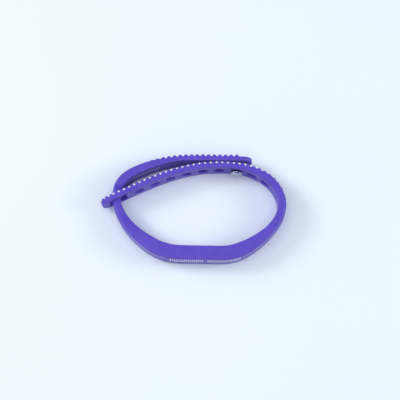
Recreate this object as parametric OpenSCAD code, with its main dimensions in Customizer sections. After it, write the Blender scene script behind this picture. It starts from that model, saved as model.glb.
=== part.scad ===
// Adjustable silicone tag wristband, closed and standing on its long edge.
// A straight pod with a sealed radio tag sits at the front. The perforated strap leaves the
// pod on the right, runs round the back and ends on the left in a slotted keeper. The tail
// leaves the pod on the left, passes out through the keeper and lies over the outside of the
// perforated strap, where a metal stud fixes it in one of the holes.
// Frame: +Z up along the band's width, -Y towards the pod, +X towards the plain right bend,
// origin at the middle of the band's footprint on the surface that it stands on.

/* [Strap] */
// Width of the whole band, which is its height as it stands
strap_w = 12.2; // [11:0.1:14]
// Thickness of the straps without their ribs
strap_t = 2.3; // [2.1:0.1:2.4]
// Length of the perforated strap, from the pod's middle to the keeper's tip
perforated_length = 152.5; // [151:0.5:154]
// Length of the tail, from the pod's middle to its tip
tail_length = 130; // [128:0.5:132]
// Rounding of both tips, seen from outside
tip_r = 5; // [3:0.5:6]

/* [Pod] */
// Thickness of the pod at its middle
pod_t = 7; // [6.6:0.1:7.4]
// Half of the pod's straight length
pod_half = 12; // [11:0.5:13]
// Length of the tag pocket
pocket_l = 21; // [18:0.5:22]
// Height of the tag pocket
pocket_h = 9; // [7:0.5:9.4]
// Thickness of the silicone outside the pocket
pocket_wall = 2.2; // [1.8:0.1:2.6]
// Thickness of the lid that closes the pocket on the wrist side
lid_t = 1.9; // [1.5:0.1:2.2]

/* [Holes and keeper] */
// Distance between two sizing holes
hole_pitch = 8.25; // [8:0.05:8.4]
// Radius of a sizing hole
hole_r = 2.45; // [2:0.05:2.6]
// Length of the keeper's slot along the strap
slot_l = 8.6; // [8.4:0.1:8.8]
// Height of the keeper's slot across the strap
slot_h = 8.4; // [8.3:0.1:8.8]
// Height of the tail's waist, where it passes through the keeper
waist_h = 8; // [7.6:0.1:8]

/* [Ribs] */
// Width of one rib of the border along the strap
rib_w = 1.8; // [1.6:0.1:1.8]
// Height of a rib above the strap
rib_h = 0.9; // [0.8:0.1:0.9]
// Length of a rib, from the strap's edge inwards
rib_l = 2.6; // [2:0.1:2.8]
// Length of a rib round the keeper's tip
tip_rib_l = 1.6; // [1:0.1:1.6]
// Height of the white fill between two ribs
fill_h = 0.75; // [0.5:0.05:0.8]

/* [Stud] */
// Radius of the domed head inside the loop
head_r = 3.1; // [2.8:0.1:3.3]
// Height of the dome above the head's rim
dome_h = 1.1; // [0.8:0.1:1.4]
// Radius of the shank
shank_r = 1.5; // [1.3:0.1:1.6]
// Radius of the flat cap on the tail's outer face
cap_r = 3.2; // [3:0.1:3.4]
// Thickness of the cap
cap_t = 0.9; // [0.8:0.1:1.1]

/* [Hidden] */
$fn = 48;

PERFORATED = 1;   // side of the pod on which the perforated strap leaves, to the right
TAIL = -1;        // side of the pod on which the tail leaves, to the left

// The pod's middle, and how far the pod is turned clockwise
pod_mid = [3.353, -22.661];
pod_turn = -1;

// How sharply each strap bends, in degrees a millimetre, at distances from the pod's middle
perforated_bend = [[0, 0], [6, -0.21], [10, 1.41], [16, 2.8], [22, 1.51], [28, 1.09], [34, 1.45],
                   [40, 1.78], [46, 3.39], [52, 4.65], [58, 3.09], [66, 3], [86, 0.7],
                   [100, 0.9], [150, -0.2]];
tail_bend = [[0, 0], [10, 0], [16, 3.2], [28, 1.2], [48, 1.8], [58, 5], [66, 4],
             [76, 0.6], [92, 1], [110, -0.1], [130, 0.1]];
// How far each face lies from the middle line, without ribs, at distances from the pod's middle
tail_thin_at = 89; // the tail has its plain thickness from here on
perforated_outer = [[0, pod_t / 2], [20, pod_t / 2], [28, 2.9], [38, 2.1], [54, 1.9], [68, 1.75],
                    [73, strap_t / 2], [160, strap_t / 2]];
perforated_inner = [[0, pod_t / 2], [20, pod_t / 2], [28, 2.9], [38, 2.1], [54, 2.1], [68, 2.2],
                    [74, 1.8], [80, strap_t / 2], [160, strap_t / 2]];
tail_outer = [[0, pod_t / 2], [10, pod_t / 2], [16, 3.1], [28, 2.7], [42, 2.3], [54, 1.9],
              [80, 1.9], [tail_thin_at, strap_t / 2], [160, strap_t / 2]];
tail_inner = [[0, pod_t / 2], [10, pod_t / 2], [17, 4.1], [25, 4.05], [34, 3.2], [42, 2.5], [54, 2],
              [63, 2.5], [73, 2.4], [92, strap_t / 2], [160, strap_t / 2]];

// Distances along the two straps
rib_pitch = hole_pitch / 3;
stud_hole = 83.5;                              // the hole in use
first_hole = -2;                               // holes counted from the one in use
last_hole = 6;
tail_stud = 122.5;                             // the stud on the tail
crossing = 144.8;                              // where the tail crosses the keeper
slot_mid = 144;                                // the middle of the keeper's slot
eye_start = stud_hole - 4.5 * rib_pitch;       // the stretch that opens round the stud
flex_at = stud_hole + 1.5 * rib_pitch;         // where the perforated strap flexes
peel_at = 62;                                  // where the tail peels off
curl_at = tail_stud - 9.5 * rib_pitch;         // where the tail curls
first_rib = stud_hole - 9 * rib_pitch;
tip_from = perforated_length - tip_r;          // where the keeper's rounding begins
first_tail_rib = tail_stud - 17 * rib_pitch;

step = 1;         // distance between two points of an outline
seat = 0.04;      // play between the fill and the strap under it
tip_fill_w = 0.3; // width of a white bar round the keeper's tip
cut = 0.5;        // how far a cutting shape passes the face it cuts
deep = 8;         // reach of a shape that cuts right through a strap
tail_run = 0.2;   // play of the stud's head under the strap

// A strap's route: [point, heading] at every step from the pod's middle
function route(bends, side, length) =
    [for (i = 0, p = pod_mid, a = pod_turn + (side == TAIL ? 180 : 0);
          i <= length / step + 1;
          p = p + step * [cos(mid_heading(a, bends, side, i)), sin(mid_heading(a, bends, side, i))],
          a = a + turn(bends, side, i),
          i = i + 1) [p, a]];
function turn(bends, side, i) = side * step * lookup((i + 0.5) * step, bends);
function mid_heading(a, bends, side, i) = a + turn(bends, side, i) / 2;

perforated_route = route(perforated_bend, PERFORATED, perforated_length);
tail_route = route(tail_bend, TAIL, tail_length);
function side_route(side) = side == TAIL ? tail_route : perforated_route;

// Point and heading of a strap's middle line at distance s
function at(side, s) =
    let (r = side_route(side), i = min(floor(s / step), len(r) - 2), f = s / step - i)
    r[i] + f * (r[i + 1] - r[i]);
function outward(side, s) = let (a = at(side, s)[1]) side * [sin(a), -cos(a)];
function outer_depth(side, s) = lookup(s, side == TAIL ? tail_outer : perforated_outer);
function inner_depth(side, s) = lookup(s, side == TAIL ? tail_inner : perforated_inner);
// A point of the strap's outline: level is -1 on the inner face and 1 on the outer face
function face_point(side, s, level) =
    at(side, s)[0] + (level > 0 ? outer_depth(side, s) : -inner_depth(side, s)) * outward(side, s);
function stations(from, to) =
    concat([from], [for (s = [ceil(from / step + 0.2) * step : step : to - 0.2 * step]) s], [to]);
function reversed(list) = [for (i = [len(list) - 1 : -1 : 0]) list[i]];
function strip_points(side, from, to) =
    let (list = stations(from, to))
    concat([for (s = list) face_point(side, s, 1)],
           [for (s = reversed(list)) face_point(side, s, -1)]);

// Puts a shape at distance s: its +Y points outwards and its X runs along the strap
module place(side, s) {
    spot = at(side, s);
    translate(spot[0]) rotate(spot[1] + (side == PERFORATED ? 180 : 0)) children();
}

// A round shape across the strap at distance s, from one depth outwards to another
module across(side, s, from, to, r) {
    place(side, s) translate([0, from, strap_w / 2]) rotate([-90, 0, 0])
        cylinder(h = to - from, r = r);
}

module strip(side, from, to) {
    linear_extrude(strap_w) polygon(strip_points(side, from, to));
}

module rib_profile() {
    translate([-rib_w / 2, -0.3]) square([rib_w, 0.3 + rib_h - rib_w / 2]);
    translate([0, rib_h - rib_w / 2]) circle(d = rib_w);
}

// What stands on the outer face along both long edges of a strap
module both_edges() {
    for (z = [0, strap_w - rib_l]) translate([0, 0, z]) linear_extrude(rib_l) children();
}

// The ribs' crests keep to one height, so they sink into a strap where it thickens
module ribs(side, from, to, first) {
    both_edges()
        for (s = [first : rib_pitch : to - rib_w / 2]) if (s > from)
            place(side, s) translate([0, strap_t / 2]) rib_profile();
}

// White bars between the ribs, where the strap has its plain thickness
module fill(side, from, to, first) {
    gap = rib_pitch - rib_w - 2 * seat;
    both_edges()
        for (s = [first + rib_pitch / 2 : rib_pitch : to - rib_w]) if (s > from + rib_w / 2)
            place(side, s) translate([-gap / 2, strap_t / 2 + seat]) square([gap, fill_h]);
}

// Places round the keeper's tip: each is an angle from straight up and a centre's height
upper = strap_w - tip_r;
tip_ribs = [[23, upper], [54.5, upper], [86, upper], [94, tip_r], [125.5, tip_r], [157, tip_r]];
tip_gaps = [[38.75, upper], [70.25, upper], [109.75, tip_r], [141.25, tip_r]];

module round_tip(places, length) {
    for (mark = places)
        place(PERFORATED, tip_from)
            translate([0, strap_t / 2, mark[1]]) rotate([0, -mark[0], 0])
                translate([0, 0, tip_r - length]) linear_extrude(length) children();
}

// The two corners outside a tip's rounding
module tip_corners(side, s_end) {
    toward = side == PERFORATED ? -1 : 1;
    for (z = [0, 1])
        place(side, s_end - tip_r) difference() {
            translate([toward > 0 ? 0 : -tip_r - cut, -deep / 2, z > 0 ? strap_w - tip_r : -cut])
                cube([tip_r + cut, deep, tip_r + cut]);
            translate([0, -deep, z > 0 ? strap_w - tip_r : tip_r]) rotate([-90, 0, 0])
                cylinder(h = 2 * deep, r = tip_r);
        }
}

module sizing_holes(from, to) {
    for (k = [first_hole : last_hole]) {
        s = stud_hole + k * hole_pitch;
        if (s > from && s < to) across(PERFORATED, s, -deep / 2, deep / 2, hole_r);
    }
}

module keeper_slot() {
    place(PERFORATED, slot_mid)
        translate([-slot_l / 2, -deep / 2, (strap_w - slot_h) / 2]) cube([slot_l, deep, slot_h]);
}

// Side view of the left band, which narrows to a waist where the keeper rides on it
module waist_envelope() {
    y0 = at(PERFORATED, crossing)[0][1];
    low = (strap_w - waist_h) / 2;
    profile = [[-60, 0], [y0 - 13, 0], [y0 - 9, low], [y0 + 3.4, low], [y0 + 6, 0], [60, 0]];
    translate([100, 0, 0]) rotate([90, 0, -90]) linear_extrude(200) mirror([1, 0])
        polygon(concat(profile, [for (p = reversed(profile)) [p[0], strap_w - p[1]]]));
}

// Box in the pod, centred along it, between two depths measured outwards from its middle
module pod_box(length, height, from, to) {
    place(TAIL, 0) translate([-length / 2, from, (strap_w - height) / 2])
        cube([length, to - from, height]);
}

pocket_floor = pod_t / 2 - pocket_wall;
lid_inside = -pod_t / 2 + lid_t;
coil_turns = 4;
coil_wire = 0.35;
coil_gap = 0.3;
coil_t = 0.3;
base_t = 0.8;
chip_size = 1.8;
chip_t = 0.5;

module pod_shell() {
    color("#5b4ab4") difference() {
        linear_extrude(strap_w)
            polygon(concat([for (s = reversed(stations(0, pod_half))) face_point(PERFORATED, s, 1)],
                           [for (s = stations(step, pod_half)) face_point(TAIL, s, 1)],
                           [for (s = reversed(stations(step, pod_half))) face_point(TAIL, s, -1)],
                           [for (s = stations(0, pod_half)) face_point(PERFORATED, s, -1)]));
        pod_box(pocket_l, pocket_h, -pod_t / 2 - cut, pocket_floor);
    }
}

module pod_lid() {
    color("#5b4ab4") pod_box(pocket_l, pocket_h, -pod_t / 2, lid_inside);
}

module tag_base() {
    color("ivory") pod_box(pocket_l, pocket_h, pocket_floor - base_t, pocket_floor);
}

module antenna_coil() {
    outside = pocket_floor - base_t;
    pitch = coil_wire + coil_gap;
    color("peru") for (k = [0 : coil_turns - 1]) difference() {
        pod_box(pocket_l - 2 - 2 * k * pitch, pocket_h - 1 - 2 * k * pitch,
                outside - coil_t, outside);
        pod_box(pocket_l - 2 - 2 * k * pitch - 2 * coil_wire,
                pocket_h - 1 - 2 * k * pitch - 2 * coil_wire,
                outside - coil_t - cut, outside + cut);
    }
}

module tag_chip() {
    outside = pocket_floor - base_t;
    color("#202020") pod_box(chip_size, chip_size, outside - chip_t, outside);
}

module tag_cover() {
    outside = pocket_floor - base_t - coil_t;
    color("ivory") difference() {
        pod_box(pocket_l, pocket_h, lid_inside, outside);
        pod_box(chip_size + 0.2, chip_size + 0.2, outside - chip_t + coil_t - 0.1, outside + cut);
    }
}

module left_band() {
    color("#6f66d0") intersection() {
        strip(TAIL, pod_half, peel_at);
        waist_envelope();
    }
}

module right_band() {
    color("#6f66d0") difference() {
        union() {
            strip(PERFORATED, pod_half, eye_start);
            ribs(PERFORATED, pod_half, eye_start, first_rib);
        }
        sizing_holes(pod_half, eye_start);
    }
}

module strap_eye() {
    color("#6a60cc") difference() {
        union() {
            strip(PERFORATED, eye_start, flex_at);
            ribs(PERFORATED, eye_start, flex_at, first_rib);
        }
        sizing_holes(eye_start, flex_at);
    }
}

module strap_end() {
    color("#6f66d0") difference() {
        union() {
            strip(PERFORATED, flex_at, perforated_length);
            ribs(PERFORATED, flex_at, tip_from + rib_w / 2, first_rib);
            round_tip(tip_ribs, tip_rib_l) rib_profile();
        }
        sizing_holes(flex_at, perforated_length);
        keeper_slot();
        tip_corners(PERFORATED, perforated_length);
    }
}

module eye_fill() {
    color("white") fill(PERFORATED, eye_start, flex_at, first_rib);
}

module strap_fill() {
    color("white") difference() {
        union() {
            fill(PERFORATED, flex_at, tip_from, first_rib);
            round_tip(tip_gaps, tip_rib_l - 0.5) translate([-tip_fill_w / 2, seat])
                square([tip_fill_w, fill_h]);
        }
        keeper_slot();
    }
}

module tail_root() {
    color("#8279e0") {
        strip(TAIL, peel_at, curl_at);
        ribs(TAIL, peel_at, curl_at, first_tail_rib);
    }
}

module tail_end() {
    color("#8279e0") difference() {
        union() {
            strip(TAIL, curl_at, tail_length);
            ribs(TAIL, curl_at, tail_stud + rib_w, first_tail_rib);
        }
        across(TAIL, tail_stud, -deep / 2, deep / 2, shank_r);
        tip_corners(TAIL, tail_length);
    }
}

module tail_root_fill() {
    color("white") fill(TAIL, tail_thin_at, curl_at, first_tail_rib);
}

module tail_end_fill() {
    color("white") fill(TAIL, curl_at, tail_stud + rib_w / 2, first_tail_rib);
}

// Depth of the head's rim below the tail's middle: through both straps, plus their slant
head_depth = at(TAIL, tail_stud)[0][1] - at(PERFORATED, stud_hole)[0][1] + strap_t / 2 + 0.4 + tail_run;
head_rim = 0.5;
spigot_r = 0.9;
spigot_l = 0.6;

module stud_peg() {
    dome_r = (pow(head_r, 2) + pow(dome_h, 2)) / (2 * dome_h);
    color("silver") {
        across(TAIL, tail_stud, -head_depth - head_rim, -head_depth, head_r);
        across(TAIL, tail_stud, -head_depth - cut, strap_t / 2, shank_r);
        across(TAIL, tail_stud, strap_t / 2 - cut, strap_t / 2 + spigot_l, spigot_r);
        intersection() {
            across(TAIL, tail_stud, -head_depth - head_rim - dome_h, -head_depth - head_rim / 2, head_r);
            place(TAIL, tail_stud)
                translate([0, -head_depth - head_rim - dome_h + dome_r, strap_w / 2]) sphere(r = dome_r);
        }
    }
}

module stud_cap() {
    color("silver") difference() {
        across(TAIL, tail_stud, strap_t / 2, strap_t / 2 + cap_t, cap_r);
        across(TAIL, tail_stud, strap_t / 2 - cut, strap_t / 2 + spigot_l, spigot_r);
    }
}

pod_shell();
pod_lid();
tag_base();
antenna_coil();
tag_chip();
tag_cover();
left_band();
right_band();
strap_eye();
strap_end();
eye_fill();
strap_fill();
tail_root();
tail_end();
tail_root_fill();
tail_end_fill();
stud_peg();
stud_cap();
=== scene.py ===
"""Adjustable silicone tag wristband, closed by a stud and standing on its long edge.

The silicone moulding is made as four skins that meet at flat seams. Every place on the band is
given by three lengths in millimetres: run, the signed distance from the pod's middle along the
band, above zero on the perforated side and below zero on the tail's; depth, outwards from the
band's middle line; and z, upwards from the band's middle height. Meshes are in metres.
"""

import math

import bmesh
import bpy
import numpy as np
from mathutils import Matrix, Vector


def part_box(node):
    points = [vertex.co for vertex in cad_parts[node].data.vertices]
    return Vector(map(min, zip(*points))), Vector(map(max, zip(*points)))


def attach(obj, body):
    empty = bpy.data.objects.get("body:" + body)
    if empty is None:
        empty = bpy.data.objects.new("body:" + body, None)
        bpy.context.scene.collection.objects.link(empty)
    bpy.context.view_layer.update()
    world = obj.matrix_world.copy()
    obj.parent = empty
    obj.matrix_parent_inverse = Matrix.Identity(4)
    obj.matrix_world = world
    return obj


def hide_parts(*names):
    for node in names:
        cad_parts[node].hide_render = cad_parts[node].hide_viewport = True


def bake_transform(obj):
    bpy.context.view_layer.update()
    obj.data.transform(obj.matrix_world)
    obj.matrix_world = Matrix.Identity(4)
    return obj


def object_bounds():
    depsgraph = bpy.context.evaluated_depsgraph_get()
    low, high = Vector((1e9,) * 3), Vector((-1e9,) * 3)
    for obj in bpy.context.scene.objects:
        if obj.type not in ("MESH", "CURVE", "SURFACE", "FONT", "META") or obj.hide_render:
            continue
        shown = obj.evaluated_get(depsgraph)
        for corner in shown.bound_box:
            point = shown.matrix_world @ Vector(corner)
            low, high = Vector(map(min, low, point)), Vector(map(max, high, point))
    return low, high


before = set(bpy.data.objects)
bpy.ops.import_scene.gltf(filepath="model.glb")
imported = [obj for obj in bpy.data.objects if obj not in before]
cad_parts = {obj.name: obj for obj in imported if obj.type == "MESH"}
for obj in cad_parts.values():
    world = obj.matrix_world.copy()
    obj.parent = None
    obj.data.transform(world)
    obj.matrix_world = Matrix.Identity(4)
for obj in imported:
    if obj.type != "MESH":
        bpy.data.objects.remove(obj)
cad_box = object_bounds()

MM = 0.001

# ---------------------------------------------------------------- sizes of the band

STRAP_T = 2.3
POD_T = 7.0
LID_T = 1.9
POCKET_L = 21.0
POCKET_H = 9.0
POCKET_FLOOR = POD_T / 2 - 2.2
POD_TURN = -1.0
# How sharply each side bends, in degrees a millimetre, at distances from the pod's middle. These
# two tables are not chosen by hand: they are the rounded results of a least-squares fit.
PERFORATED_BEND = ((0, 0), (6, -0.21), (10, 1.41), (16, 2.8), (22, 1.51), (28, 1.09), (34, 1.45),
                   (40, 1.78), (46, 3.39), (52, 4.65), (58, 3.09), (66, 3), (86, 0.7),
                   (100, 0.9), (150, -0.2))
TAIL_BEND = ((0, 0), (10, 0), (16, 3.2), (28, 1.2), (48, 1.8), (58, 5), (66, 4),
             (76, 0.6), (92, 1), (110, -0.1), (130, 0.1))
# How far each face lies from the middle line, for each side of the pod and for the outer (1) and
# the inner (-1) face, at distances from the pod's middle
PLAIN = STRAP_T / 2
TAIL_THIN_AT = 89
FACES = {
    (1, 1): ((0, POD_T / 2), (20, POD_T / 2), (28, 2.9), (38, 2.1), (54, 1.9), (68, 1.75), (73, PLAIN)),
    (1, -1): ((0, POD_T / 2), (20, POD_T / 2), (28, 2.9), (38, 2.1), (54, 2.1), (68, 2.2), (74, 1.8),
              (80, PLAIN)),
    (-1, 1): ((0, POD_T / 2), (10, POD_T / 2), (16, 3.1), (28, 2.7), (42, 2.3), (54, 1.9), (80, 1.9),
              (TAIL_THIN_AT, PLAIN)),
    (-1, -1): ((0, POD_T / 2), (10, POD_T / 2), (17, 4.1), (25, 4.05), (34, 3.2), (42, 2.5), (54, 2),
               (63, 2.5), (73, 2.4), (92, PLAIN))}
FACE_EASE = 1.5

TIP_RUN = 152.5
TAIL_RUN = -130.0
TIP_R = 5.0
HOLE_PITCH = 8.25
HOLE_R = 2.45
STUD_HOLE = 83.5
HOLES = STUD_HOLE + HOLE_PITCH * np.arange(-2, 7)
TAIL_STUD = -122.5
CROSSING = 144.8
SLOT_MIDDLE = 144.0
SLOT_L = 8.6
SLOT_H = 8.4
WAIST_H = 8.0

RIB_PITCH = HOLE_PITCH / 3
RIB_W = 1.8
RIB_H = 0.9
RIB_L = 2.6
RIB_END = 0.6
TIP_RIB_L = 1.6
TIP_RIB_ANGLES = (23, 54.5, 86)
TIP_GAP_ANGLES = (7.3, 38.8, 70.2)
FIRST_RIB = STUD_HOLE - 9 * RIB_PITCH
FIRST_TAIL_RIB = -TAIL_STUD - 17 * RIB_PITCH

# Where the skins meet, and where the joints are
EYE_SEAM = STUD_HOLE - 4.5 * RIB_PITCH
KEEPER_SEAM = -50.0
TAIL_SEAM = -(FIRST_TAIL_RIB + 1.5 * RIB_PITCH)
FLEX_AT = STUD_HOLE + 1.5 * RIB_PITCH
PEEL_AT = -62.0
CURL_AT = TAIL_STUD + 9.5 * RIB_PITCH

lid_low, lid_high = (np.array(corner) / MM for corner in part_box("pod_lid"))
end_low, end_high = (np.array(corner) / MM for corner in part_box("strap_end"))
STRAP_W = end_high[2] - end_low[2]
HALF_W = STRAP_W / 2
facing = math.radians(POD_TURN)
POD_FRONT = np.array([math.sin(facing), -math.cos(facing)])
POD_MIDDLE = (lid_low + lid_high)[:2] / 2 + POD_FRONT * (POD_T - LID_T) / 2

# ---------------------------------------------------------------- the band's route

ROUTE_STEP = 0.1


def lookup(table, distance):
    """Straight lines between the pairs of a table."""
    places, values = zip(*table)
    return np.interp(distance, places, values)


def walk(bend, side, length):
    """A side's route: every step turns by the bend at its middle and moves along its mean heading."""
    distance = np.arange(0, length, ROUTE_STEP)
    turns = side * ROUTE_STEP * lookup(bend, distance[:-1] + ROUTE_STEP / 2)
    headings = POD_TURN + (180 if side < 0 else 0) + np.concatenate([[0], np.cumsum(turns)])
    mean = np.radians(headings[:-1] + turns / 2)
    steps = ROUTE_STEP * np.stack([np.cos(mean), np.sin(mean)], 1)
    points = POD_MIDDLE + np.concatenate([np.zeros((1, 2)), np.cumsum(steps, 0)])
    return distance, points, np.radians(headings)


ROUTES = {1: walk(PERFORATED_BEND, 1, 156), -1: walk(TAIL_BEND, -1, 134)}


def spot(run):
    """Middle point and outward direction of the band at each run."""
    run = np.asarray(run, float)
    middle, outward = np.empty(run.shape + (2,)), np.empty(run.shape + (2,))
    for side, (distance, points, headings) in ROUTES.items():
        here = run * side >= 0
        along = abs(run[here])
        heading = np.interp(along, distance, headings)
        middle[here] = np.stack([np.interp(along, distance, points[:, k]) for k in (0, 1)], -1)
        outward[here] = side * np.stack([np.sin(heading), -np.cos(heading)], -1)
    return middle, outward


def place(run, depth, z):
    """The point, in metres, at a run, depth and z."""
    run, depth, z = np.broadcast_arrays(run, depth, z)
    middle, outward = spot(run)
    plan = middle + depth[..., None] * outward
    return np.concatenate([plan, (z + HALF_W)[..., None]], -1) * MM


def face_depth(run, level):
    """How far a face lies from the middle line, averaged over a few millimetres along the band."""
    run = np.asarray(run, float)
    along = abs(run)[..., None] + np.linspace(-FACE_EASE, FACE_EASE, 7)
    perforated, tail = (lookup(FACES[side, level], along).mean(-1) for side in (1, -1))
    return np.where(run > 0, perforated, tail)


def ease(x, low, high):
    """A smooth climb from 0 at low to 1 at high."""
    t = np.clip((x - low) / (high - low), 0, 1)
    return t * t * (3 - 2 * t)


def waist(run):
    """Half of the width: the tail's side narrows where the keeper rides on it."""
    y = spot(run)[0][..., 1] - spot(np.array([CROSSING]))[0][0, 1]
    narrow = ease(y, -18, -8.5) * (1 - ease(y, 3, 6.5)) * (np.asarray(run) < 0)
    return HALF_W - (STRAP_W - WAIST_H) / 2 * narrow


def outer_round(run):
    """Rounding of the outer long edges: generous on the thick stretches, small on the straps."""
    return 0.7 + 0.7 * (1 - ease(abs(run), 68, 88))


def inner_round(run):
    """Rounding of the inner long edges."""
    return 0.5 + 0.3 * (1 - ease(abs(run), 68, 88))


# ---------------------------------------------------------------- ribs


def rib_bump(offset):
    """A rib's height at a distance from its middle: half of a slightly squared ellipse."""
    return RIB_H * np.clip(1 - abs(2 * offset / RIB_W) ** 2.4, 0, 1) ** (1 / 2.2)


def rib_end(from_edge, length):
    """A rib's rounded end, at a distance from the band's edge."""
    return np.sqrt(np.clip(1 - np.clip((from_edge - length + RIB_END) / RIB_END, 0, 1) ** 2, 0, 1))


def row_of_ribs(run, z, middles):
    """Ribs across both long edges. Their crests keep one height, so they sink in where it thickens."""
    offset = abs(run[..., None] - middles).min(-1)
    sunk = face_depth(run, 1) - PLAIN
    return np.clip(rib_bump(offset) * rib_end(HALF_W - abs(z), RIB_L) - sunk, 0, None)


def tip_of_ribs(run, z):
    """Ribs that fan out round the keeper's tip."""
    x, y = run - (TIP_RUN - TIP_R), abs(z) - (HALF_W - TIP_R)
    reach, turn = np.hypot(x, y), np.degrees(np.arctan2(x, y))
    height = np.zeros(run.shape)
    for angle in TIP_RIB_ANGLES:
        bump = rib_bump(reach * np.sin(np.radians(turn - angle)))
        height = np.maximum(height, bump * rib_end(TIP_R - reach, TIP_RIB_L))
    return height * (x > 0)


STRAP_RIBS = np.arange(FIRST_RIB, TIP_RUN - TIP_R, RIB_PITCH)
TAIL_RIBS = -np.arange(FIRST_TAIL_RIB, -TAIL_STUD + RIB_W / 2, RIB_PITCH)


def strap_relief(run, z):
    """Height of the perforated side's border above the outer face."""
    return np.maximum(row_of_ribs(run, z, STRAP_RIBS), tip_of_ribs(run, z))


def tail_relief(run, z):
    """Height of the tail's border above the outer face."""
    return row_of_ribs(run, z, TAIL_RIBS)


# ---------------------------------------------------------------- meshes


def grid_faces(rows, columns, start=0):
    """Four-sided faces of a grid of points, whose first point has the number start."""
    corner = start + np.arange(rows * columns).reshape(rows, columns)
    around = [corner[:-1, :-1], corner[1:, :-1], corner[1:, 1:], corner[:-1, 1:]]
    return np.stack(around, -1).reshape(-1, 4)


def make_piece(name, points, faces, material, smooth_below=40, painted_highlight=None):
    """A mesh object of those points and faces, welded, closed and with its faces outwards."""
    mesh = bpy.data.meshes.new(name)
    mesh.from_pydata(points.reshape(-1, 3).tolist(), [], faces.tolist())
    # The painted highlight share of each point, kept as an attribute for the violet shader.
    if painted_highlight is not None:
        layer = mesh.attributes.new("painted_highlight", "FLOAT", "POINT")
        layer.data.foreach_set("value", painted_highlight.astype(np.float32).ravel())
    work = bmesh.new()
    work.from_mesh(mesh)
    bmesh.ops.remove_doubles(work, verts=work.verts, dist=2e-7)
    bmesh.ops.dissolve_degenerate(work, edges=work.edges, dist=1e-8)
    bmesh.ops.holes_fill(work, edges=[e for e in work.edges if e.is_boundary], sides=0)
    bmesh.ops.recalc_face_normals(work, faces=work.faces)
    work.to_mesh(mesh)
    work.free()
    piece = bpy.data.objects.new(name, mesh)
    bpy.context.scene.collection.objects.link(piece)
    mesh.materials.append(material)
    smooth(mesh, smooth_below)
    return piece


def smooth(mesh, below):
    """Smooth shading, with a crisp edge wherever two faces meet at more than that angle."""
    mesh.shade_smooth()
    mesh.set_sharp_from_angle(angle=math.radians(below))


def make_grids(name, grids, material, painted_highlight=None, **how):
    """One piece out of several grids that share their borders."""
    starts = np.cumsum([0] + [g.shape[0] * g.shape[1] for g in grids])
    faces = np.concatenate([grid_faces(g.shape[0], g.shape[1], s) for g, s in zip(grids, starts)])
    points = np.concatenate([g.reshape(-1, 3) for g in grids])
    highlight_share = None if painted_highlight is None else np.concatenate([w.ravel() for w in painted_highlight])
    return make_piece(name, points, faces, material, painted_highlight=highlight_share, **how)


def cut_away(piece, cutter):
    """Takes the cutter's space out of a piece, and removes the cutter."""
    step = piece.modifiers.new("cut", "BOOLEAN")
    step.operation, step.solver, step.object = "DIFFERENCE", "EXACT", cutter
    bpy.context.view_layer.update()
    seen = piece.evaluated_get(bpy.context.evaluated_depsgraph_get())
    cut = bpy.data.meshes.new_from_object(seen)
    piece.modifiers.clear()
    old, piece.data = piece.data, cut
    cut.name = piece.name
    bpy.data.meshes.remove(old)
    bpy.data.objects.remove(cutter)
    smooth(piece.data, 40)


# ---------------------------------------------------------------- the moulding's skins

# Places across a broad face, from its lower edge to its upper one, close together at the ribs' ends
UPPER_COLUMNS = np.array([0.9, 1.7, 2.4, 2.9, 3.25, 3.5, 3.6, 3.75, 3.95, 4.2, 4.7, 5.2, 5.68])
COLUMNS = np.concatenate([-UPPER_COLUMNS[::-1], [0], UPPER_COLUMNS]) / UPPER_COLUMNS[-1]
QUARTER = np.radians(np.linspace(0, 90, 6))
SIDE = np.linspace(0, 1, 6)[1:-1]
PLAIN_STEP = 0.5
RIB_POINTS = 9
GAP_POINTS = 4
TIP_POINTS = 46

# The edge's section, from the outer face round to the inner one. Each point lies inside the
# edge by shares of the two roundings, and its depth is shared between the two faces.
ZERO_Q, ZERO_S = 0 * QUARTER, 0 * SIDE
OUTER_INSET = np.concatenate([1 - np.sin(QUARTER), ZERO_S, ZERO_Q])
INNER_INSET = np.concatenate([ZERO_Q, ZERO_S, 1 - np.cos(QUARTER)])
OUTER_SHARE = np.concatenate([ZERO_Q + 1, 1 - SIDE, ZERO_Q])
OUTER_DROP = np.concatenate([1 - np.cos(QUARTER), 1 - SIDE, ZERO_Q])
INNER_RISE = np.concatenate([ZERO_Q, SIDE, 1 - np.sin(QUARTER)])
# Share of painted highlight round the section: most at the middle of each rounding, none on the flat
# side.
EDGE_HIGHLIGHT = np.concatenate([np.sin(2 * QUARTER), ZERO_S, np.sin(2 * QUARTER)])


def stations(low, high, middles):
    """Runs along a skin: even steps where it is plain, and closer ones over each rib."""
    lean = RIB_W / 2 * np.sin(np.radians(np.linspace(-90, 90, RIB_POINTS)))
    on_ribs = (middles[:, None] + lean).ravel()
    room = RIB_PITCH - RIB_W
    in_gaps = (middles[:, None] + RIB_W / 2 + room * np.linspace(0, 1, GAP_POINTS + 2)[1:-1]).ravel()
    plain = np.arange(math.ceil(low / PLAIN_STEP), math.floor(high / PLAIN_STEP) + 1) * PLAIN_STEP
    clear = abs(plain[:, None] - middles).min(1) > RIB_PITCH * 0.75
    runs = np.concatenate([on_ribs, in_gaps, plain[clear]])
    runs = np.sort(runs[(runs > low + 0.05) & (runs < high - 0.05)])
    return np.concatenate([[low], runs[np.concatenate([[True], np.diff(runs) > 1e-4])], [high]])


def long_edge(runs, tip_run):
    """The upper edge line, as (run, z, direction away from the skin), rounded at the tip."""
    zero = 0 * runs
    line = np.stack([runs, waist(runs), zero, zero + 1])
    if tip_run is None:
        return line
    way = math.copysign(1, tip_run)
    turn = np.radians(np.linspace(0, 90, TIP_POINTS))
    corner = np.stack([tip_run + way * TIP_R * (np.sin(turn) - 1), HALF_W - TIP_R * (1 - np.cos(turn)),
                       way * np.sin(turn), np.cos(turn)])
    if way < 0:
        return np.concatenate([corner[:, ::-1], line[:, 1:]], 1)
    return np.concatenate([line[:, :-1], corner], 1)


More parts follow.
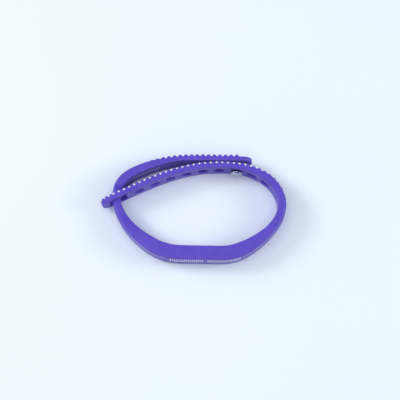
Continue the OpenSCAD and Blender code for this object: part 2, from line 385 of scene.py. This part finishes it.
def edge_band(line, relief):
    """The rounded edge along a line: the section's insets and depths, carried along it."""
    run, z, away_run, away_z = (part[:, None] for part in line)
    outer, inner = outer_round(run), inner_round(run)
    inset = outer * OUTER_INSET + inner * INNER_INSET
    run, z = run - inset * away_run, z - inset * away_z
    bump = relief(run, z)
    depth = OUTER_SHARE * (face_depth(run, 1) + bump) - (1 - OUTER_SHARE) * face_depth(run, -1)
    depth = depth - outer * OUTER_DROP + inner * INNER_RISE
    # The second result is the painted highlight share, stronger over the ribs.
    return place(run, depth, z), EDGE_HIGHLIGHT * (0.6 + 0.4 * bump / RIB_H)


def broad_face(line, level, relief):
    """A broad face: each row runs straight from the upper edge line to its mirror image below."""
    run, z, away_run, away_z = (part[:, None] for part in line)
    inset = outer_round(run) if level > 0 else inner_round(run)
    run, z = run - inset * away_run + 0 * COLUMNS, (z - inset * away_z) * COLUMNS
    bump = relief(run, z) if level > 0 else 0 * run
    # The second result is a painted highlight on the ribs' crests.
    return place(run, level * face_depth(run, level) + bump, z), 0.8 * ease(bump / RIB_H, 0.7, 1)


def strap_skin(name, low, high, middles, relief, material, tip_run=None):
    """A stretch of the moulding: two broad faces and the rounded edges round them."""
    end_low = TAIL_RUN + TIP_R if tip_run == TAIL_RUN else low
    end_high = TIP_RUN - TIP_R if tip_run == TIP_RUN else high
    line = long_edge(stations(end_low, end_high, middles), tip_run)
    below = line * np.array([[1], [-1], [1], [-1]])
    parts = [broad_face(line, 1, relief), broad_face(line, -1, relief),
             edge_band(line, relief), edge_band(below, relief)]
    if tip_run is not None:
        z = (HALF_W - TIP_R) * COLUMNS
        way = math.copysign(1, tip_run)
        flat = np.stack([0 * z + tip_run, z, 0 * z + way, 0 * z])
        parts.append(edge_band(flat, relief))
    # Each part's second value is its painted highlight share.
    return make_grids(name, [p for p, _ in parts], material, [w for _, w in parts])


def turned_cutter(run, radius, flare, reach):
    """A round cutter across the band, which flares in a quarter round where it meets each face."""
    outer, inner = (float(face_depth(run, level)) for level in (1, -1))
    turn = np.radians(np.linspace(0, 90, 5))
    shift = flare * (np.sin(turn) - 1)
    wide = radius + flare * (1 - np.cos(turn))
    depth = np.concatenate([[-reach], -(inner + shift)[::-1], outer + shift, [reach]])
    wide = np.concatenate([wide[-1:], wide[::-1], wide, wide[-1:]])
    return turned_grid(run, wide, depth)


def turned_grid(run, radius, depth, points=48):
    """A profile of radius against depth, swung round an axis that points outwards at that run."""
    middle, outward = (part[0] for part in spot(np.array([run])))
    along = np.array([-outward[1], outward[0]])
    angle = np.radians(np.linspace(0, 360, points + 1))
    swing = radius[:, None] * np.cos(angle)
    plan = middle + depth[:, None, None] * outward + swing[..., None] * along
    z = HALF_W + radius[:, None] * np.sin(angle)
    return np.concatenate([plan, z[..., None]], -1) * MM


def rounded_outline(half_x, half_y, corner, points=8):
    """A rectangle with quarter-round corners, as a closed list of points."""
    turn = np.radians(np.linspace(0, 90, points))
    x = half_x - corner + corner * np.cos(turn)
    y = half_y - corner + corner * np.sin(turn)
    quarter = np.stack([x, y], 1)
    flip = quarter[::-1] * [-1, 1]
    half = np.concatenate([quarter, flip])
    return np.concatenate([half, -half, half[:1]])


def prism_grid(run, outline, depths, grow):
    """An outline in the plane of run and z, carried outwards through depths and grown at each."""
    middle, outward = (part[0] for part in spot(np.array([run])))
    along = np.array([-outward[1], outward[0]])
    size = 1 + grow[:, None] / abs(outline).max(0)[None]
    shape = outline[None] * size[:, None]
    plan = middle + depths[:, None, None] * outward + shape[..., :1] * along
    return np.concatenate([plan, shape[..., 1:] + HALF_W], -1) * MM


# ---------------------------------------------------------------- small pads


def bend_power(value, power):
    """A power that keeps the sign."""
    return np.sign(value) * abs(value) ** power


def pads(name, places, half_run, half_z, low, high, material, level=1, square=0.4, rows=9, columns=20):
    """Small rounded blocks on a broad face, as superellipsoids: signed powers of the sines and
    cosines of two angles, turned in the face's plane. places holds each one's run, z and turn."""
    up = np.radians(np.linspace(-90, 90, rows))[:, None]
    round_ = np.radians(np.linspace(-180, 180, columns + 1))[None]
    x = half_run * bend_power(np.cos(up), square) * bend_power(np.cos(round_), square)
    y = half_z * bend_power(np.cos(up), square) * bend_power(np.sin(round_), square)
    lift = (low + high) / 2 + (high - low) / 2 * bend_power(np.sin(up), square) + 0 * round_
    places = np.asarray(places, float)[:, :, None, None]
    turn = np.radians(places[:, 2])
    run = places[:, 0] + x * np.cos(turn) - y * np.sin(turn)
    z = places[:, 1] + x * np.sin(turn) + y * np.cos(turn)
    points = place(run, level * (face_depth(run, level) + lift), z)
    count, one = len(places), grid_faces(rows, columns + 1)
    faces = (one[None] + (rows * (columns + 1) * np.arange(count))[:, None, None]).reshape(-1, 4)
    return make_piece(name, points, faces, material, smooth_below=70)


# ---------------------------------------------------------------- materials


def linear(red, green, blue):
    """A display colour from 0 to 255 as the linear colour that a shader takes."""
    share = np.array([red, green, blue]) / 255
    value = np.where(share <= 0.04045, share / 12.92, ((share + 0.055) / 1.055) ** 2.4)
    return (*value.tolist(), 1.0)


class Finish:
    """A node material with one shader, and short ways to add the nodes that it reads."""

    def __init__(self, name, **constants):
        """Constants are shader inputs, with _ for a space."""
        self.material = bpy.data.materials.new(name)
        self.material.use_nodes = True
        self.tree = self.material.node_tree
        self.shader = self.tree.nodes["Principled BSDF"]
        for socket, value in constants.items():
            self.shader.inputs[socket.replace("_", " ")].default_value = value
        self.where = self.node("ShaderNodeTexCoord").outputs["Object"]

    def node(self, kind, **settings):
        """A new node with those settings."""
        made = self.tree.nodes.new(kind)
        for key, value in settings.items():
            setattr(made, key, value)
        return made

    def link(self, out, into):
        """Joins an output to an input."""
        self.tree.links.new(out, into)

    def noise(self, scale, detail=3.0, rough=0.55):
        """Noise in object coordinates, with scale in cells a metre."""
        made = self.node("ShaderNodeTexNoise")
        made.inputs["Scale"].default_value = scale
        made.inputs["Detail"].default_value = detail
        made.inputs["Roughness"].default_value = rough
        self.link(self.where, made.inputs["Vector"])
        return made.outputs["Fac"]

    def span(self, value, low, high, to_low, to_high):
        """A value stretched from one span to another, and held at its ends."""
        made = self.node("ShaderNodeMapRange", clamp=True)
        ends = {"From Min": low, "From Max": high, "To Min": to_low, "To Max": to_high}
        for socket, number in ends.items():
            made.inputs[socket].default_value = number
        self.link(value, made.inputs["Value"])
        return made.outputs["Result"]

    def mix(self, share, first, second):
        """Two colours, mixed by a share."""
        made = self.node("ShaderNodeMix", data_type="RGBA")
        self.link(share, made.inputs[0])
        for socket, colour in ((6, first), (7, second)):
            if isinstance(colour, tuple):
                made.inputs[socket].default_value = colour
            else:
                self.link(colour, made.inputs[socket])
        return made.outputs[2]

    def maths(self, operation, first, second):
        """One step of arithmetic on two values."""
        made = self.node("ShaderNodeMath", operation=operation)
        for socket, value in enumerate((first, second)):
            if isinstance(value, (int, float)):
                made.inputs[socket].default_value = value
            else:
                self.link(value, made.inputs[socket])
        return made.outputs[0]

    def bump(self, height, distance, strength=1.0):
        """Raises the surface by a height, times a distance in metres."""
        made = self.node("ShaderNodeBump")
        made.inputs["Strength"].default_value = strength
        made.inputs["Distance"].default_value = distance
        self.link(height, made.inputs["Height"])
        self.link(made.outputs["Normal"], self.shader.inputs["Normal"])

    def set(self, socket, value):
        """Feeds a value to an input of the shader."""
        self.link(value, self.shader.inputs[socket])


def silicone():
    """Violet silicone: a soft satin skin, slightly cloudy, with fine grain, lint, and a painted
    highlight on the rounded edges and rib crests.
    """
    finish = Finish("violet_silicone", IOR=1.41, Sheen_Weight=0.12, Sheen_Roughness=0.45,
                    Specular_IOR_Level=0.5)
    cloud = finish.span(finish.noise(130, 2), 0.35, 0.65, 0, 1)
    colour = finish.mix(cloud, linear(78, 58, 184), linear(86, 65, 193))
    # Painted highlight: a lighter violet on the rounded edges and rib crests, where the lamps glint,
    # made patchy by noise.
    highlight_share = finish.node("ShaderNodeAttribute", attribute_name="painted_highlight").outputs["Fac"]
    highlight_mask = finish.maths("MULTIPLY", highlight_share, finish.span(finish.noise(900, 4), 0.35, 0.7, 0.1, 0.5))
    colour = finish.mix(highlight_mask, colour, linear(132, 122, 220))
    lint = finish.span(finish.noise(3800, 2, 0.7), 0.7, 0.76, 0, 0.4)
    colour = finish.mix(lint, colour, linear(190, 186, 228))
    finish.set("Base Color", colour)
    haze = finish.span(finish.noise(420, 5), 0.3, 0.7, 0.4, 0.56)
    finish.set("Roughness", finish.maths("ADD", haze, finish.maths("MULTIPLY", lint, 0.4)))
    orange_peel = finish.maths("MULTIPLY", finish.noise(700, 2), 1.4)
    grain = finish.maths("ADD", finish.noise(9000, 3), orange_peel)
    finish.bump(grain, 0.00003, 0.6)
    return finish.material


def white_rubber(name, base, stained):
    """White silicone ink: matt, with faint violet stains and a soft, uneven surface."""
    finish = Finish(name, IOR=1.42)
    stain = finish.span(finish.noise(800, 4), 0.45, 0.75, 0, 1)
    finish.set("Base Color", finish.mix(stain, base, stained))
    finish.set("Roughness", finish.span(finish.noise(2500, 3), 0.3, 0.7, 0.45, 0.65))
    finish.bump(finish.noise(4200, 3), 0.00004, 0.5)
    return finish.material


def nickel():
    """Polished nickel: bright, with fine scratches in two scales and a little haze."""
    finish = Finish("polished_nickel", Metallic=1.0)
    tarnish = finish.span(finish.noise(600, 4), 0.4, 0.7, 0, 1)
    finish.set("Base Color", finish.mix(tarnish, linear(182, 186, 200), linear(158, 163, 182)))
    finish.set("Roughness", finish.span(finish.noise(2200, 5), 0.35, 0.7, 0.08, 0.22))
    stretch = finish.node("ShaderNodeMapping")
    stretch.inputs["Scale"].default_value = (300, 6000, 6000)
    finish.link(finish.where, stretch.inputs["Vector"])
    scratch = finish.node("ShaderNodeTexNoise")
    scratch.inputs["Scale"].default_value = 1.0
    finish.link(stretch.outputs["Vector"], scratch.inputs["Vector"])
    finish.bump(scratch.outputs["Fac"], 0.000004, 0.6)
    return finish.material


def laminate():
    """Ivory card laminate of the tag, with paper fibre in its colour and surface."""
    finish = Finish("ivory_laminate", IOR=1.46)
    fibre = finish.span(finish.noise(1800, 6), 0.35, 0.65, 0, 1)
    finish.set("Base Color", finish.mix(fibre, linear(236, 231, 214), linear(218, 210, 188)))
    finish.set("Roughness", finish.span(finish.noise(900, 3), 0.3, 0.7, 0.5, 0.7))
    finish.bump(finish.noise(3000, 4), 0.00002, 0.6)
    return finish.material


def copper():
    """Enamelled copper wire: warm metal with darker patches."""
    finish = Finish("enamelled_copper", Metallic=1.0, Coat_Weight=0.4, Coat_Roughness=0.15)
    patch = finish.span(finish.noise(1200, 4), 0.4, 0.7, 0, 1)
    finish.set("Base Color", finish.mix(patch, linear(214, 130, 84), linear(168, 92, 56)))
    finish.set("Roughness", finish.span(finish.noise(2600, 3), 0.3, 0.7, 0.22, 0.38))
    finish.bump(finish.noise(5000, 2), 0.00001, 0.5)
    return finish.material


def epoxy():
    """Black moulded epoxy over the chip, faintly speckled."""
    finish = Finish("black_epoxy", IOR=1.5)
    speck = finish.span(finish.noise(6000, 3), 0.55, 0.75, 0, 1)
    finish.set("Base Color", finish.mix(speck, linear(24, 24, 26), linear(52, 52, 56)))
    finish.set("Roughness", finish.span(finish.noise(2000, 3), 0.3, 0.7, 0.3, 0.5))
    finish.bump(finish.noise(8000, 2), 0.00001, 0.5)
    return finish.material


def pale_floor():
    """The plain pale surface that the band stands on."""
    finish = Finish("pale_floor", Roughness=0.7, Specular_IOR_Level=0.25)
    drift = finish.span(finish.noise(6, 2), 0.3, 0.7, 0, 1)
    finish.set("Base Color", finish.mix(drift, linear(229, 238, 247), linear(231, 240, 249)))
    return finish.material


VIOLET = silicone()
WHITE_FILL = white_rubber("white_fill", linear(236, 240, 250), linear(206, 208, 236))
WHITE_INK = white_rubber("white_ink", linear(226, 226, 244), linear(186, 182, 222))
NICKEL = nickel()

# ---------------------------------------------------------------- the moulding


def cutters(grids):
    """All the cutting shapes of one skin, as one object."""
    return make_grids("cutter", grids, VIOLET)


def round_holes(low, high):
    """Cutters of the sizing holes between two runs."""
    return [turned_cutter(run, HOLE_R, 0.25, 5) for run in HOLES if low < run < high]


def pod_skin():
    """The pod and both shoulders, with the tag's pocket open towards the wrist."""
    skin = strap_skin("pod_and_shoulders", KEEPER_SEAM, EYE_SEAM, STRAP_RIBS, strap_relief, VIOLET)
    outline = rounded_outline(POCKET_L / 2, POCKET_H / 2, 0.35)
    pocket = prism_grid(0.0, outline, np.array([-POD_T, POCKET_FLOOR]), np.zeros(2))
    cut_away(skin, cutters([pocket]))
    cut_away(skin, cutters(round_holes(KEEPER_SEAM, EYE_SEAM)))
    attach(skin, "band")
    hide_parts("pod_shell", "left_band", "right_band")
    return skin


def perforated_skin():
    """The perforated strap from the stud's eye to the keeper's tip."""
    skin = strap_skin("perforated_strap", EYE_SEAM, TIP_RUN, STRAP_RIBS, strap_relief, VIOLET, TIP_RUN)
    half = STRAP_T / 2
    flare = 0.3
    turn = np.radians(np.linspace(0, 90, 5))
    shift = half - flare + flare * np.sin(turn)
    grow = flare * (1 - np.cos(turn))
    depths = np.concatenate([[-4], -shift[::-1], shift, [4]])
    grown = np.concatenate([grow[-1:], grow[::-1], grow, grow[-1:]])
    outline = rounded_outline(SLOT_L / 2, SLOT_H / 2, 0.9)
    slot = prism_grid(SLOT_MIDDLE, outline, depths, grown)
    cut_away(skin, cutters([*round_holes(EYE_SEAM, TIP_RUN), slot]))
    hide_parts("strap_eye", "strap_end")
    return skin


def tail_root_skin():
    """The tail's first stretch, out through the keeper and round to the back."""
    skin = strap_skin("tail_root_strap", TAIL_SEAM, KEEPER_SEAM, TAIL_RIBS, tail_relief, VIOLET)
    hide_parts("tail_root")
    return skin


def tail_end_skin():
    """The tail's free end, with the stud's hole."""
    skin = strap_skin("tail_end_strap", TAIL_RUN, TAIL_SEAM, TAIL_RIBS, tail_relief, VIOLET, TAIL_RUN)
    depth = np.array([-4.0, 4.0])
    cut_away(skin, cutters([turned_grid(TAIL_STUD, 0 * depth + 1.55, depth)]))
    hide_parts("tail_end")
    return skin


def lid():
    """The lid over the tag's pocket: a rounded plate, a hair smaller than the pocket."""
    turn = np.radians(np.linspace(0, 90, 5))
    outside = -POD_T / 2
    round_ = 0.3
    depths = np.concatenate([outside + round_ * (1 - np.sin(turn)), [outside + LID_T]])
    grow = np.concatenate([-0.05 - round_ * (1 - np.cos(turn)), [-0.05]])
    outline = rounded_outline(POCKET_L / 2, POCKET_H / 2, 0.5)
    order = np.argsort(depths)
    grid = prism_grid(0.0, outline, depths[order], grow[order])
    piece = make_grids("pocket_lid", [grid], VIOLET)
    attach(piece, "band")
    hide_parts("pod_lid")
    return piece


def bend_between(piece, a, b, start_run, end_run):
    """Bakes a piece's placement into its mesh; nothing is set up to bend it. The bodies a and b are not
    used.
    """
    ends = place(np.array([start_run, end_run]), 0.0, 0.0)
    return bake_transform(piece)


BEND_RUN = 12
FLEX = ("band", "strap_end", FLEX_AT - 1, FLEX_AT - 1 + BEND_RUN)
PEEL = ("band", "tail_root", PEEL_AT, PEEL_AT - BEND_RUN)
CURL = ("tail_root", "tail_end", CURL_AT, CURL_AT - BEND_RUN)

pod_skin()
lid()
bend_between(perforated_skin(), *FLEX)
bend_between(tail_root_skin(), *PEEL)
bend_between(tail_end_skin(), *CURL)

# ---------------------------------------------------------------- white fill and print

FILL_H = 0.75
FILL_Z = HALF_W - RIB_L / 2
FILL_SIZE = ((RIB_PITCH - RIB_W) / 2 + 0.05, RIB_L / 2 - 0.06, -0.1, FILL_H)


def border_places(runs):
    """A pad in the middle of each gap, along both long edges."""
    return [(run, z, 0) for run in runs for z in (-FILL_Z, FILL_Z)]


def white_border(name, low, high, ribs, joint, *nodes):
    """White silicone between the ribs, from one run to another."""
    gaps = (ribs[:-1] + ribs[1:]) / 2
    gaps = gaps[(gaps > low) & (gaps < high)]
    piece = pads(name, border_places(gaps), *FILL_SIZE, WHITE_FILL)
    bend_between(piece, *joint)
    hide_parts(*nodes)
    return piece


def tip_border():
    """White silicone between the ribs that fan out round the keeper's tip."""
    places = []
    reach = TIP_R - TIP_RIB_L / 2
    for angle in TIP_GAP_ANGLES:
        turn = math.radians(angle)
        run = TIP_RUN - TIP_R + reach * math.sin(turn)
        z = HALF_W - TIP_R + reach * math.cos(turn)
        places += [(run, z, -angle), (run, -z, angle)]
    piece = pads("tip_border_white", places, 0.3, TIP_RIB_L / 2 - 0.15, -0.1, FILL_H, WHITE_FILL)
    bend_between(piece, *FLEX)
    return piece


def keeper_border():
    """Short white pads between the ribs beside the keeper's slot."""
    gaps = (STRAP_RIBS[:-1] + STRAP_RIBS[1:]) / 2
    half_z = (HALF_W - SLOT_H / 2) / 2 - 0.25
    middle = HALF_W - half_z - 0.05
    places = [(run, z, 0) for run in gaps[gaps > SLOT_START] for z in (-middle, middle)]
    piece = pads("keeper_border_white", places, FILL_SIZE[0], half_z, -0.1, FILL_H, WHITE_FILL)
    bend_between(piece, *FLEX)
    return piece


SLOT_START = SLOT_MIDDLE - SLOT_L / 2 - RIB_PITCH / 2
white_border("strap_border_white", EYE_SEAM + RIB_PITCH / 2, SLOT_START, STRAP_RIBS, FLEX,
             "eye_fill", "strap_fill")
keeper_border()
tip_border()
white_border("tail_border_white", TAIL_RUN, -TAIL_THIN_AT, TAIL_RIBS, CURL,
             "tail_root_fill", "tail_end_fill")



def printed(name, places, half_run, half_z, level, joint=None):
    """Thin pads of white ink on a broad face."""
    piece = pads(name, places, half_run, half_z, -0.04, 0.05, WHITE_INK, level, rows=5, columns=12)
    if joint is None:
        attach(piece, "band")
    else:
        bend_between(piece, *joint)
    return piece


def pod_print():
    """A plain pattern on the pod's outer face: two rows of upright bars, with dashes beyond them."""
    bars = np.arange(-14, 18.5, 0.95)
    bars = bars[(bars < 1.5) | (bars > 3.2)]
    places = [(run, z, 0) for run in bars for z in (0.2, 3.1)]
    printed("pod_bars_print", places, 0.3, 1.2, 1)
    dashes = np.concatenate([np.arange(-34, -16, 1.5), np.arange(20.5, 30, 1.5)])
    printed("pod_dashes_print", [(run, 1.9, 0) for run in dashes], 0.65, 0.16, 1)


pod_print()
printed("tail_ticks_print", [(run, 1.2, 0) for run in np.arange(-84, -69, 1.25)], 0.27, 0.9, -1, PEEL)
printed("strap_dashes_print", [(run, 4.5, 0) for run in (48.4, 50.0, 51.6)], 0.5, 0.45, -1)

# ---------------------------------------------------------------- stud


def arc(radius, depth, size, start, end, points=7):
    """Points of a profile on an arc, as (radius, depth)."""
    turn = np.radians(np.linspace(start, end, points))
    return np.stack([radius + size * np.cos(turn), depth + size * np.sin(turn)], 1)


def turned_piece(name, run, profile, material):
    """A turned piece of metal."""
    grid = turned_grid(run, profile[:, 0], profile[:, 1], points=64)
    return make_grids(name, [grid], material, smooth_below=35)


HEAD_R = 3.1
DOME_H = 1.1
SHANK_R = 1.5
SPIGOT_R = 0.9
SPIGOT_L = 0.6
RIM = 0.5
CAP_R = 3.2
CAP_T = 0.9
peg_low, peg_high = (np.array(corner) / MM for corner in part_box("stud_peg"))
SPIGOT_TOP = STRAP_T / 2 + SPIGOT_L
APEX = SPIGOT_TOP - (peg_high - peg_low)[1]
HEAD_UNDER = APEX + DOME_H + RIM


def stud_peg():
    """Domed head, shank and spigot: a shallow cap of a sphere, a rolled rim and a stepped shank."""
    dome_r = (HEAD_R ** 2 + DOME_H ** 2) / (2 * DOME_H)
    slope = math.degrees(math.asin((HEAD_R - 0.3) / dome_r))
    dome = arc(0, APEX + dome_r, dome_r, -90, -90 + slope, 14)
    rim = arc(HEAD_R - 0.25, HEAD_UNDER - RIM + 0.12, 0.25, -60, 0, 6)
    under = arc(HEAD_R - 0.15, HEAD_UNDER - 0.15, 0.15, 0, 90, 5)
    neck = arc(SHANK_R + 0.2, HEAD_UNDER + 0.2, 0.2, -90, -180, 5)
    shank = np.array([[SHANK_R, PLAIN], [SPIGOT_R, PLAIN], [SPIGOT_R, SPIGOT_TOP], [0, SPIGOT_TOP]])
    profile = np.concatenate([dome, rim, under, neck, shank])
    piece = turned_piece("stud_head_and_shank", TAIL_STUD, profile, NICKEL)
    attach(piece, "tail_end")
    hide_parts("stud_peg")
    return piece


def stud_cap():
    """Flat cap on the tail's outer face, with a shallow dish and a rolled edge."""
    foot = STRAP_T / 2
    top = foot + CAP_T
    hole = np.array([[0, SPIGOT_TOP], [SPIGOT_R, SPIGOT_TOP], [SPIGOT_R, foot]])
    skirt = arc(CAP_R - 0.12, foot + 0.12, 0.12, -90, 0, 4)
    edge = arc(CAP_R - 0.35, top - 0.35, 0.35, 0, 90, 7)
    dish = np.array([[CAP_R - 0.75, top], [CAP_R - 0.95, top - 0.12], [1.1, top - 0.16], [0, top - 0.1]])
    profile = np.concatenate([hole, skirt, edge, dish])
    piece = turned_piece("stud_cap_disc", TAIL_STUD, profile, NICKEL)
    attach(piece, "tail_end")
    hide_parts("stud_cap")
    return piece


stud_peg()
stud_cap()

# ---------------------------------------------------------------- tag in the pocket

for node_name, material in (("tag_base", laminate()), ("tag_cover", laminate()),
                            ("antenna_coil", copper()), ("tag_chip", epoxy())):
    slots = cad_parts[node_name].data.materials
    slots.clear()
    slots.append(material)

# ---------------------------------------------------------------- floor, light and camera


def floor():
    """A pale surface, wide enough to reach out of sight, level with the band's lower edge."""
    reach = 3.0
    corners = np.array([[-reach, -reach, 0], [reach, -reach, 0], [reach, reach, 0], [-reach, reach, 0]])
    mesh = bpy.data.meshes.new("floor")
    mesh.from_pydata(corners.tolist(), [], [(0, 1, 2, 3)])
    mesh.materials.append(pale_floor())
    ground = bpy.data.objects.new("floor", mesh)
    bpy.context.scene.collection.objects.link(ground)


def soft_light(name, place_at, aim, size, power, colour):
    """A square soft light that points at the band."""
    data = bpy.data.lights.new(name, "AREA")
    data.shape, data.size, data.energy, data.color = "SQUARE", size, power, colour
    lamp = bpy.data.objects.new(name, data)
    bpy.context.scene.collection.objects.link(lamp)
    lamp.location = place_at
    lamp.rotation_euler = (aim - lamp.location).to_track_quat("-Z", "Y").to_euler()


def studio():
    """Broad light from above, a smaller one from each side, and an even pale surround."""
    low, high = cad_box
    middle = (low + high) / 2
    point = type(middle)
    soft_light("overhead", middle + point((-0.1, -0.12, 1.1)), middle, 1.2, 6.4, (1.0, 1.0, 0.99))
    soft_light("left", middle + point((-0.74, 0.24, 0.6)), middle, 0.34, 3.9, (1.0, 1.0, 1.0))
    soft_light("right", middle + point((0.86, 0.02, 0.5)), middle, 0.36, 3.1, (1.0, 1.0, 1.0))
    world = bpy.data.worlds.new("surround")
    bpy.context.scene.world = world
    world.use_nodes = True
    world.node_tree.nodes["Background"].inputs["Color"].default_value = linear(240, 243, 250)
    world.node_tree.nodes["Background"].inputs["Strength"].default_value = 0.37


EYE_ELEVATION = 76      # degrees above the floor
EYE_DISTANCE = 0.7008   # metres from the aim
AIM_BEHIND_POD = 28.82  # millimetres
LENS = 128.04           # focal length in millimetres


def camera():
    """Looks down on the band from its front."""
    point = type(cad_box[0])
    elevation = math.radians(EYE_ELEVATION)
    aim = point((POD_MIDDLE[0] * MM, (POD_MIDDLE[1] + AIM_BEHIND_POD) * MM, 0))
    data = bpy.data.cameras.new("camera")
    data.lens, data.sensor_width = LENS, 36
    data.clip_start, data.clip_end = 0.01, 20
    eye = bpy.data.objects.new("camera", data)
    bpy.context.scene.collection.objects.link(eye)
    eye.location = aim + EYE_DISTANCE * point((0, -math.cos(elevation), math.sin(elevation)))
    eye.rotation_euler = (aim - eye.location).to_track_quat("-Z", "Y").to_euler()
    bpy.context.scene.camera = eye


floor()
studio()
camera()
bpy.context.scene.view_settings.view_transform = "Standard"
